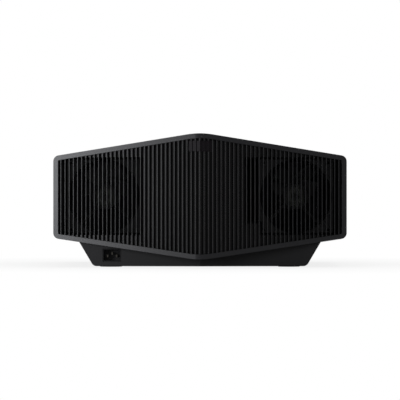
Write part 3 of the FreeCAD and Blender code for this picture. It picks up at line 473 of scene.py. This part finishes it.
# %% Light traps
TRAP_START, TRAP_ARM, TRAP_PITCH, TRAP_THICK = 0.0262, 0.0068, 0.0072, 0.0009
TRAP_HALF, TRAP_LOW, TRAP_HIGH = 0.058, -0.0565, 0.0575
RAIL, TRAP_MARGIN = 0.003, 0.001
fold = np.array([[0, 0], [TRAP_ARM, TRAP_ARM], [0, 2 * TRAP_ARM]])
starts = np.arange(-TRAP_HALF + TRAP_MARGIN, TRAP_HALF - TRAP_ARM - TRAP_MARGIN, TRAP_PITCH)
front = fold[None] + np.stack([starts, 0 * starts + TRAP_START], axis=-1)[:, None]
trap = join(
    upright_bars(front, front + np.array([TRAP_THICK, 0]), TRAP_LOW, TRAP_HIGH),
    slim_frame(TRAP_HALF, TRAP_LOW, TRAP_HIGH, RAIL, TRAP_START, TRAP_START + 2 * TRAP_ARM))
for body in ("left_fan", "right_fan"):
    piece = surface(f"{body}_light_trap", on_leg(trap[0], *fan_axes(body)), trap[1], "flocked_black_abs",
                    "case", smooth=False)
    print(piece.name, len(starts), "strips")

# %% [markdown]
# ## Intake filters at the front
#
# Air enters beside the lens, through a pleated sheet of fleece in a slim frame. Pleats give a small
# opening a large area: the sheet runs to and fro between two depths at a fixed pitch.

# %% Pleated filters
PLEAT_PITCH, PLEAT_DEPTH, SHEET_THICK = 0.005, 0.009, 0.0006
FILTER_HALF, FILTER_LOW, FILTER_HIGH, FILTER_RIM = 0.0525, 0.0585, 0.1635, 0.0025
MIDDLE_X = 0.1585
V_RISE, HALF_WIDTH, V_TIP, GRILLE_BACK, FILTER_GAP = 0.0573, 0.230, 0.2585, 0.0123, 0.0006
SLOPE = V_RISE / HALF_WIDTH
BACK_Y = V_TIP - SLOPE * MIDDLE_X - GRILLE_BACK - FILTER_GAP
PLEAT_CLEAR = 0.0004    # from the folds to the frame's faces
turns = np.arange(0, 2 * FILTER_HALF / PLEAT_PITCH + 1)
crest = np.stack([-FILTER_HALF + turns * PLEAT_PITCH, PLEAT_CLEAR + PLEAT_DEPTH * (turns % 2)], axis=-1)[None]
sheet = upright_bars(crest + np.array([0, SHEET_THICK]), crest, FILTER_LOW, FILTER_HIGH)
deep = PLEAT_DEPTH + SHEET_THICK + 2 * PLEAT_CLEAR
rim = slim_frame(FILTER_HALF, FILTER_LOW, FILTER_HIGH, FILTER_RIM, 0, deep)
length = math.hypot(1, SLOPE)
for side, title in ((-1, "left"), (1, "right")):
    axes = ((side * MIDDLE_X, BACK_Y, 0), (-1 / length, side * SLOPE / length, 0),
            (-side * SLOPE / length, -1 / length, 0))
    for kind, (points, faces), worn in (("filter", sheet, "pleated_filter_fleece"),
                                        ("frame", rim, "glass_filled_nylon")):
        surface(f"intake_{kind}_{title}", on_leg(points, *axes), faces, worn, "case", smooth=False)
print("pleats", len(turns) - 1)

# %% [markdown]
# ## Rings round the lens
#
# The tunnel round the lens is a cone cut with fine steps, so that stray light from the lens is thrown back
# instead of sliding forward. The front glass is held by a screwed ring with a bevelled inner edge. Both
# are turned profiles: (along the lens axis, radius) pairs carried once round it.

# %% Tunnel steps and retaining ring
TUNNEL_BACK, TUNNEL_FRONT = (0.2265, 0.0583), (0.2500, 0.0729)
STEPS, STEP_DEPTH, TUNNEL_WALL, TUNNEL_FIT = 14, 0.0009, 0.0006, 0.0001
RING_STEPS = 128
lens_low, lens_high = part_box("lens_trim_ring")
LENS_Z = (lens_low[2] + lens_high[2]) / 2
LENS_LIFT = np.array([0, 0, LENS_Z])
share = np.linspace(0, 1, STEPS + 1)
along = TUNNEL_BACK[0] + share * (TUNNEL_FRONT[0] - TUNNEL_BACK[0])
radius = TUNNEL_BACK[1] + share * (TUNNEL_FRONT[1] - TUNNEL_BACK[1])
stairs = np.stack([np.repeat(along, 2)[1:], np.repeat(radius, 2)[:-1]], axis=-1)
inner = stairs - np.array([0, TUNNEL_WALL + STEP_DEPTH])
outer = np.array([(along[-1], radius[-1] - TUNNEL_FIT), (along[0], radius[0] - TUNNEL_FIT)])
points, faces = ring_profile(np.concatenate([inner, outer])[::-1].tolist(), RING_STEPS)
tunnel = surface("lens_tunnel_steps", points + LENS_LIFT, faces, "flocked_black_abs", "case", smooth=False)

RETAINER = [(0.2140, 0.0356), (0.2166, 0.0356), (0.2168, 0.0354), (0.2168, 0.0348), (0.2150, 0.0334),
            (0.2142, 0.0334)]
points, faces = ring_profile(RETAINER, RING_STEPS)
retainer = surface("glass_retaining_ring", points + LENS_LIFT, faces, "black_anodised_aluminium",
                   "lens_carriage", smooth=False)
print(tunnel.name, "and", retainer.name, "round the axis at z =", round(LENS_Z, 4))

# %% [markdown]
# ## The lens elements
#
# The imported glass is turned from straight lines, so it would mirror the room in flat rings. Here both
# elements get their true curves: a shallow sphere in front and a hollow behind, each an arc of a large
# circle carried round the axis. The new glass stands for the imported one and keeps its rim.

# %% Smooth lens elements
def dome(edge_y, edge_radius, rise, count):
    """Points of a shallow spherical face from its rim to near the axis.

    With edge radius e, the circle through the rim and the top has radius
    R = (e * e + rise * rise) / (2 * |rise|), and a point at radius r lies R - sqrt(R * R - r * r) behind
    the top. A negative rise makes a hollow face.
    """
    radius = np.linspace(edge_radius, 0.0, count)
    sphere = (edge_radius ** 2 + rise ** 2) / (2 * abs(rise))
    behind = sphere - np.sqrt(sphere ** 2 - radius ** 2)
    return np.stack([edge_y + np.sign(rise) * (abs(rise) - behind), radius], axis=-1)


def lens_element(front, back):
    """A closed body between two faces, as a disc grid: rows from one pole over the rim to the other pole."""
    rows = np.concatenate([front[::-1][1:], back[:-1]])
    angle = np.linspace(0, 2 * np.pi, RING_STEPS, endpoint=False)[None]
    along, radius = rows[:, 0:1], rows[:, 1:2]
    body = carried_round(along, radius, angle).reshape(-1, 3)
    poles = np.array([[0, front[-1, 0], 0], [0, back[-1, 0], 0]])
    quads = grid_faces(len(rows), RING_STEPS, wrap_columns=True)
    step = np.arange(RING_STEPS)
    after = (step + 1) % RING_STEPS
    last = (len(rows) - 1) * RING_STEPS
    first_pole, last_pole = len(body), len(body) + 1
    fans = [(int(b), int(a), first_pole) for a, b in zip(step, after)]
    fans += [(int(last + a), int(last + b), last_pole) for a, b in zip(step, after)]
    return np.concatenate([body, poles]), quads.tolist() + fans


# each face: place of its rim along the axis, rim radius, rise, number of points from rim to axis
FRONT_ELEMENT = (0.2132, 0.0359, 0.0047, 24), (0.2083, 0.0359, -0.0012, 24)
REAR_ELEMENT = (0.1056, 0.0287, 0.0001, 6), (0.0995, 0.0287, -0.0018, 16)
glass_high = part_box("lens_glass")[1]
front_points, front_faces = lens_element(*(dome(*face) for face in FRONT_ELEMENT))
rear_points, rear_faces = lens_element(*(dome(*face) for face in REAR_ELEMENT))
faces = front_faces + [tuple(index + len(front_points) for index in face) for face in rear_faces]
points = np.concatenate([front_points, rear_points]) + LENS_LIFT
glass = dressed("curved_lens_glass", points, faces, "coated_optical_glass", smooth=True)
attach(glass, "lens_carriage")
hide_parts("lens_glass")
print("front face at y =", round(float(points[:, 1].max()), 4), "packed", round(glass_high[1], 4))

# %% [markdown]
# ## Printed marks on the buttons
#
# Pad printing leaves a film of ink a few hundredths of a millimetre thick. The marks are the common ones:
# a broken ring and bar for power, arrowheads for the four ways, a ring for confirming, a framed arrow for
# the input and three bars for the menu. Each stroke is a flat band that follows a short path on the
# button's face.

# %% Button marks
INK, STROKE, THIN_STROKE = 0.00008, 0.0006, 0.0004


def stroke(path, width=STROKE, closed=False):
    """A band along a flat path: each point is pushed both ways along its mean normal, then given a height."""
    path = np.array(path, dtype=float)
    ahead, behind = np.roll(path, -1, axis=0) - path, path - np.roll(path, 1, axis=0)
    if not closed:
        ahead[-1], behind[0] = behind[-1], ahead[0]
    ahead, behind = (part / np.linalg.norm(part, axis=1, keepdims=True) for part in (ahead, behind))
    middle = ahead + behind
    middle = middle / np.linalg.norm(middle, axis=1, keepdims=True)
    normal = np.stack([-middle[:, 1], middle[:, 0]], axis=-1)
    reach = width / 2 / np.maximum((middle * ahead).sum(axis=1, keepdims=True), 0.5)
    left, right = path + normal * reach, path - normal * reach
    section = np.stack([left, right, right, left], axis=1)
    height = np.broadcast_to(np.array([0, 0, INK, INK])[None, :, None], (*section.shape[:2], 1))
    points = np.concatenate([section, height], axis=-1)
    faces = grid_faces(len(path), 4, wrap_rows=closed, wrap_columns=True)
    if not closed:
        last = 4 * (len(path) - 1)
        faces = np.concatenate([faces, [[3, 2, 1, 0], [last, last + 1, last + 2, last + 3]]])
    return points, faces[:, ::-1]


def arc(radius, start, end, steps):
    """Points on a circle between two angles in degrees."""
    angle = np.radians(np.linspace(start, end, steps))
    return np.stack([radius * np.cos(angle), radius * np.sin(angle)], axis=-1)


def arrowhead(turn):
    """A bent stroke pointing up, turned by a whole number of degrees."""
    angle = np.radians(turn)
    spin = np.array([[np.cos(angle), np.sin(angle)], [-np.sin(angle), np.cos(angle)]])
    return stroke(np.array([(-0.0013, -0.0006), (0, 0.0008), (0.0013, -0.0006)]) @ spin)


bars = [stroke([(-0.0014, level), (0.0014, level)], THIN_STROKE) for level in (-0.0010, 0.0, 0.0010)]
INPUT_PATHS = (
    [(0.0002, 0.0014), (0.0017, 0.0014), (0.0017, -0.0014), (0.0002, -0.0014)],
    [(-0.0019, 0), (0.0006, 0)],
    [(0, 0.0006), (0.0007, 0), (0, -0.0006)],
)
MARKS = {
    "power_button": join(stroke(arc(0.0018, -235, 55, 25)), stroke([(0, 0.0006), (0, 0.0024)])),
    "ok_button": stroke(arc(0.0015, 0, 345, 24), closed=True),
    "up_button": arrowhead(0),
    "down_button": arrowhead(180),
    "left_button": arrowhead(90),
    "right_button": arrowhead(270),
    "input_button": join(*(stroke(path, THIN_STROKE) for path in INPUT_PATHS)),
    "menu_button": join(*bars),
}
for name, (points, faces) in MARKS.items():
    low, high = (np.array(corner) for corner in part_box(name))
    centre = (low + high) / 2
    points = points.reshape(-1, 3)
    placed = np.stack([low[0] - points[:, 2], centre[1] - points[:, 0], centre[2] + points[:, 1]], axis=-1)
    surface(name + "_mark", placed, faces, "printed_button_mark", name, smooth=False)

# %% [markdown]
# ## Insides of the sockets
#
# A socket's metal shell is only its shield. Inside sits a dark nylon body that holds the contacts: two
# rows of pins in the serial port, eight springs in the network socket, and a thin tongue in the others.
# Each body is a cup made by sweeping a rectangle inwards; each contact is a small flat bar or an
# eight-sided pin.

# %% Socket bodies and contacts
PANEL_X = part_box("terminal_panel")[0][0]
PIN_SIDES = 8


def swept(loops):
    """Join loops of points into a tube and close both ends with strips of quads."""
    loops = np.array(loops, dtype=float)
    count, sides = loops.shape[:2]
    wall = grid_faces(count, sides, wrap_columns=True)[:, ::-1]
    step = np.arange(sides // 2 - 1)
    cap = np.stack([step, step + 1, sides - 2 - step, sides - 1 - step], axis=-1)
    return loops, np.concatenate([wall, cap, cap[:, ::-1] + (count - 1) * sides])


def rectangle_at(x, middle, half_y, half_z):
    """Four corners in a plane across X, in the order that makes a sweep towards -X face outwards."""
    turns = np.array([(-1, -1), (1, -1), (1, 1), (-1, 1)])
    y, z = middle[0] + turns[:, 0] * half_y, middle[1] + turns[:, 1] * half_z
    return np.column_stack([np.full(len(turns), x), y, z])


def cup(middle, half_y, half_z, deep, mouth, wall):
    """An open box: out along its sides, over the rim and back down inside to its floor."""
    return swept([rectangle_at(deep, middle, half_y, half_z), rectangle_at(mouth, middle, half_y, half_z),
                  rectangle_at(mouth, middle, half_y - wall, half_z - wall),
                  rectangle_at(deep - 2 * wall, middle, half_y - wall, half_z - wall)])


def bar(middle, half_y, half_z, deep, mouth):
    """A straight bar from its deep end to its free end."""
    return swept([rectangle_at(deep, middle, half_y, half_z), rectangle_at(mouth, middle, half_y, half_z)])


def pin(middle, radius, deep, mouth):
    """A round pin with a chamfered tip: rings of eight points."""
    angle = np.linspace(0, 2 * np.pi, PIN_SIDES, endpoint=False)
    y, z = np.cos(angle), np.sin(angle)
    sizes = [(deep, radius), (mouth + 0.4 * radius, radius), (mouth, 0.5 * radius)]
    return swept([np.column_stack([np.full(PIN_SIDES, x), middle[0] + size * y, middle[1] + size * z])
                  for x, size in sizes])


def row(middle, count, pitch):
    """Evenly spaced places about a middle."""
    return [middle + pitch * (index - (count - 1) / 2) for index in range(count)]


# node: (centre y, half width, half height of the room inside the shell)
socket_z = (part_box("usb_socket")[0][2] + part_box("usb_socket")[1][2]) / 2
ROOMS = {
    "serial_port": [(-0.142, 0.0090, 0.0045)],
    "lan_socket": [(-0.108, 0.0063, 0.0047)],
    "hdmi_sockets": [(-0.080, 0.0072, 0.0025), (-0.054, 0.0072, 0.0025)],
    "usb_socket": [(-0.028, 0.0064, 0.0027)],
}
TONGUE_ROOM = 0.0004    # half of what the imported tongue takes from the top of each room
DEEP, MOUTH, CUP_WALL, CUP_FIT = PANEL_X + 0.0114, PANEL_X + 0.0006, 0.0004, 0.0001
ROOT = DEEP - 0.0007    # where every contact and tongue starts, sunk in the floor of its cup
PIN_ROWS = ((5, 0.0014), (4, -0.0014))    # pins in a row, and the row's height above the middle
PIN_PITCH, PIN_RADIUS, PIN_END = 0.0027, 0.0005, MOUTH + 0.0030
SPRINGS, SPRING_PITCH, SPRING_DROP = 8, 0.00102, 0.0024
SPRING_HALVES, SPRING_END = (0.00022, 0.0002), MOUTH + 0.0022
TONGUE_INSET, TONGUE_RISE, TONGUE_HALF, TONGUE_END = 0.0022, 0.0002, 0.0005, MOUTH + 0.0018
PADS, PAD_PITCH, PAD_DROP, PAD_HALVES, PAD_END = 4, 0.0022, 0.0004, (0.0005, 0.0001), MOUTH + 0.0024
bodies, contacts = [], []
for name, rooms in ROOMS.items():
    for y, half_y, half_z in rooms:
        z = socket_z - TONGUE_ROOM
        bodies.append(cup((y, z), half_y - CUP_FIT, half_z - TONGUE_ROOM - CUP_FIT, DEEP, MOUTH, CUP_WALL))
        if name == "serial_port":
            for count, rise in PIN_ROWS:
                contacts += [pin((spot, z + rise), PIN_RADIUS, ROOT, PIN_END)
                             for spot in row(y, count, PIN_PITCH)]
        elif name == "lan_socket":
            contacts += [bar((spot, z - SPRING_DROP), *SPRING_HALVES, ROOT, SPRING_END)
                         for spot in row(y, SPRINGS, SPRING_PITCH)]
        else:
            bodies.append(bar((y, z + TONGUE_RISE), half_y - TONGUE_INSET, TONGUE_HALF, ROOT, TONGUE_END))
            contacts += [bar((spot, z - PAD_DROP), *PAD_HALVES, ROOT, PAD_END)
                         for spot in row(y, PADS, PAD_PITCH)]
points, faces = join(*bodies)
surface("socket_bodies", points, faces, "socket_nylon", "case", smooth=False)
points, faces = join(*contacts)
surface("socket_contacts", points, faces, "gold_plated_bronze", "case", smooth=False)
print(len(bodies), "bodies and tongues,", len(contacts), "contacts")

# %% [markdown]
# ## Studio
#
# A long lens about five metres away looks straight at the rear, at the height of the case's middle, so the
# case stays almost free of perspective. One soft lamp stands to the left of the lens: on a black object
# the eye reads the lamp's reflection, not the colour, so the leg of the V that faces it shows grey and the
# other stays dark.

# %% Camera
CAMERA_DISTANCE = 5.0
SCALE_PLANE = -0.201
FRAME_WIDTH = 0.6270
CAMERA_HEIGHT = 0.1048
camera_data = bpy.data.cameras.new("studio_camera")
camera_data.sensor_width = 36.0
camera_data.lens = camera_data.sensor_width * CAMERA_DISTANCE / FRAME_WIDTH
camera_data.clip_end = 50.0
camera = bpy.data.objects.new("studio_camera", camera_data)
camera.location = (0.0, SCALE_PLANE - CAMERA_DISTANCE, CAMERA_HEIGHT)
camera.rotation_euler = (math.radians(90), 0.0, 0.0)
bpy.context.scene.collection.objects.link(camera)
bpy.context.scene.camera = camera
print("lens", round(camera_data.lens), "mm")


# %% [markdown]
# ## Lamps
#
# The key lamp is narrow, so the ribs and the rim catch a clear edge of light. A wide lamp overhead and one
# on the far side, front right, keep the top and the lens side readable when the object is seen from there.

# %% Lamps
def soft_lamp(name, place, aim, width, height, power, colour=(1.0, 1.0, 1.0)):
    """A rectangular area lamp at a place, turned towards a point."""
    data = bpy.data.lights.new(name, "AREA")
    data.shape = "RECTANGLE"
    data.size, data.size_y, data.energy, data.color = width, height, power, colour
    lamp = bpy.data.objects.new(name, data)
    lamp.location = place
    lamp.rotation_euler = (Vector(aim) - Vector(place)).to_track_quat("-Z", "Y").to_euler()
    bpy.context.scene.collection.objects.link(lamp)


MIDDLE = (0, 0, 0.1)
soft_lamp("key_lamp", (-0.947, -1.225, 0.20), aim=(-0.15, -0.2, 0.1), width=0.30, height=0.5, power=18,
          colour=(0.955, 0.965, 1.0))
soft_lamp("top_lamp", (0.2, 0.3, 2.6), aim=MIDDLE, width=2.4, height=2.4, power=22)
soft_lamp("side_lamp", (2.6, 1.6, 1.4), aim=MIDDLE, width=1.6, height=1.6, power=14)
print(len(bpy.data.lights), "lamps")

# %% [markdown]
# ## Floor and background
#
# The floor is pale and matte near the object, so that it keeps a contact shadow, and fades with distance
# to the same white as the background. The world lights softly, and only the rays that look straight at it,
# mirror it or pass through glass see it white.

# %% Floor and world
SHADOW_RADIUS = 0.45
FADE_START, FADE_END = 0.7, 1.6    # in shadow radii
FLOOR_HALF, FLOOR_LINES, FLOOR_DROP = 12, 9, 0.0002
NEAR_GLOW = 0.82    # share of plain white near the object; the rest shows the shadow
floor_material, tree, principled, where = finish("pale_studio_vinyl", Roughness=0.9)
fleck = noise(tree, (where, "Object"), 6)
tint(tree, principled, (fleck, 0), "#eeeeee", "#f4f4f4")
distance = add(tree, "ShaderNodeVectorMath", {0: (where, "Object")}, operation="LENGTH")
fade = add(tree, "ShaderNodeMapRange", {0: (distance, "Value"), 1: SHADOW_RADIUS * FADE_START,
                                        2: SHADOW_RADIUS * FADE_END, 3: NEAR_GLOW, 4: 1.0})
rays = add(tree, "ShaderNodeLightPath")
seen = add(tree, "ShaderNodeMath", {0: (rays, "Is Camera Ray"), 1: (fade, 0)}, operation="MULTIPLY")
glow = add(tree, "ShaderNodeEmission", {"Color": (1, 1, 1, 1), "Strength": 1.0})
blend = add(tree, "ShaderNodeMixShader", {0: (seen, 0), 1: (principled, 0), 2: (glow, 0)})
tree.links.new(blend.outputs[0], tree.nodes["Material Output"].inputs["Surface"])
finishes["pale_studio_vinyl"] = floor_material

lines = np.linspace(-FLOOR_HALF, FLOOR_HALF, FLOOR_LINES)
floor_x, floor_y = np.meshgrid(lines, lines)
floor_points = np.stack([floor_x, floor_y, 0 * floor_x - FLOOR_DROP], axis=-1)
floor_faces = grid_faces(FLOOR_LINES, FLOOR_LINES).tolist()
floor = dressed("studio_floor", floor_points, floor_faces, "pale_studio_vinyl", smooth=False)

world = bpy.data.worlds.new("studio_world")
world.use_nodes = True
bpy.context.scene.world = world
tree = world.node_tree
rays = add(tree, "ShaderNodeLightPath")
looking = add(tree, "ShaderNodeMath", {0: (rays, "Is Camera Ray"), 1: (rays, "Is Transmission Ray")},
              operation="MAXIMUM")
seen = add(tree, "ShaderNodeMath", {0: (looking, 0), 1: (rays, "Is Glossy Ray")}, operation="MAXIMUM")
WORLD_LIGHT = 0.35
strength = add(tree, "ShaderNodeMapRange", {0: (seen, 0), 3: WORLD_LIGHT, 4: 1.0})
tree.links.new(strength.outputs[0], tree.nodes["Background"].inputs["Strength"])
tree.nodes["Background"].inputs["Color"].default_value = (1, 1, 1, 1)
bpy.context.scene.view_settings.view_transform = "Standard"
print("world light", WORLD_LIGHT)
